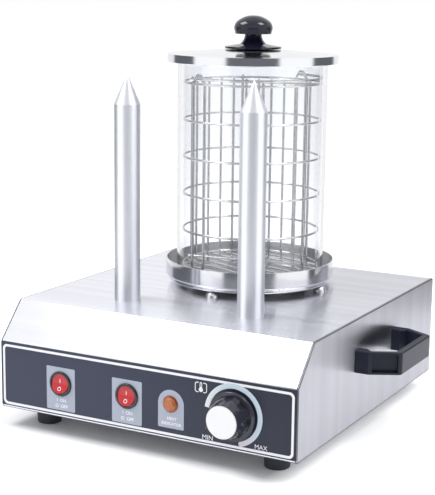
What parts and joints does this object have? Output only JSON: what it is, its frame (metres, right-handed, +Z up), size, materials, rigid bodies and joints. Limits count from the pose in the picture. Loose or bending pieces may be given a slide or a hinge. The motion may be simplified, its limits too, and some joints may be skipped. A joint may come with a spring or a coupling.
{
  "type": "hot dog spike toaster",
  "caption": "Counter-top toaster with upright heated bun spikes and a steamer: wire basket in a glass cylinder on a water pan, with a domed lid, rockers and thermostat.",
  "frame": {"origin": "on the table, at the middle of the overall width and depth", "axes": "+Z up, +Y to the rear, -Y towards the user and the controls, +X to the right as the user sees it"},
  "size_m": [0.378, 0.36, 0.3727],
  "materials": {
    "brushed_shell": "brushed",
    "plain_steel": "plain mill finish",
    "bright_steel": "polished",
    "bright_wire": "bright wire",
    "small_fasteners": "bright plated",
    "overlay_film": "printed film",
    "black_gloss": "gloss",
    "red_rocker": "clear red",
    "amber_lens": "clear amber",
    "pale_plastic": "plain",
    "knob_cap_white": "satin",
    "thermostat_metal": "plain",
    "heater_metal": "plain",
    "spike_aluminium": "turned and polished",
    "black_matte": "fine matte",
    "lid_knob_black": "phenolic, satin",
    "foot_rubber": "matt",
    "clear_glass": "clear"
  },
  "bodies": {
    "casing": {"top_shell": "brushed_shell", "side_panel_left": "brushed_shell", "side_panel_right": "brushed_shell", "rear_panel": "plain_steel", "bottom_plate": "plain_steel", "water_pan": "bright_steel", "heater_clamp": "bright_steel", "casing_screws": "small_fasteners", "pan_screws": "small_fasteners", "pan_nuts": "small_fasteners", "thermostat_screws": "small_fasteners", "handle_screws": "small_fasteners", "foot_screws": "small_fasteners", "foot_washers": "small_fasteners", "foot_nuts": "small_fasteners", "spike_washers": "small_fasteners", "spike_nuts": "small_fasteners", "control_overlay": "overlay_film", "switch_housing_left": "black_gloss", "switch_housing_right": "black_gloss", "lamp_lens": "amber_lens", "lamp_body": "pale_plastic", "terminal_block": "pale_plastic", "thermostat_body": "thermostat_metal", "sensor_bulb": "thermostat_metal", "heater_disc": "heater_metal", "cartridge_heater_left": "heater_metal", "cartridge_heater_right": "heater_metal", "spike_left": "spike_aluminium", "spike_right": "spike_aluminium", "handle_left": "black_matte", "handle_right": "black_matte", "cable_gland": "black_matte", "gland_nut": "black_matte", "foot_front_left": "foot_rubber", "foot_front_right": "foot_rubber", "foot_rear_left": "foot_rubber", "foot_rear_right": "foot_rubber"},
    "glass": {"glass_cylinder": "clear_glass"},
    "basket": {"wire_basket": "bright_wire", "basket_divider": "bright_wire"},
    "bail": {"basket_bail": "bright_wire"},
    "lid": {"lid": "bright_steel", "lid_knob": "lid_knob_black", "lid_screw": "small_fasteners"},
    "rocker_left": {"switch_rocker_left": "red_rocker"},
    "rocker_right": {"switch_rocker_right": "red_rocker"},
    "knob": {"thermostat_shaft": "thermostat_metal", "thermostat_knob": "black_gloss", "knob_cap": "knob_cap_white"}
  },
  "joints": [
    {"name": "glass_lift", "type": "slide", "parent": "casing", "child": "glass", "axis": [0, 0, 1], "range_m": [0, 0.2]},
    {"name": "basket_lift", "type": "slide", "parent": "glass", "child": "basket", "axis": [0, 0, 1], "range_m": [0, 0.205]},
    {"name": "lid_lift", "type": "slide", "parent": "basket", "child": "lid", "axis": [0, 0, 1], "range_m": [0, 0.15]},
    {"name": "bail_swing", "type": "hinge", "parent": "basket", "child": "bail", "pos_m": [0, 0.0444, 0.3148], "axis": [-0.4067, -0.9135, 0], "range_deg": [0, 13]},
    {"name": "rocker_left_tilt", "type": "hinge", "parent": "casing", "child": "rocker_left", "pos_m": [-0.0835, -0.1571, 0.049], "axis": [1, 0, 0], "range_deg": [0, 18]},
    {"name": "rocker_right_tilt", "type": "hinge", "parent": "casing", "child": "rocker_right", "pos_m": [-0.0136, -0.1571, 0.049], "axis": [1, 0, 0], "range_deg": [0, 18]},
    {"name": "knob_turn", "type": "hinge", "parent": "casing", "child": "knob", "pos_m": [0.091, -0.1586, 0.049], "axis": [0, 1, 0], "range_deg": [0, 283]}
  ]
}
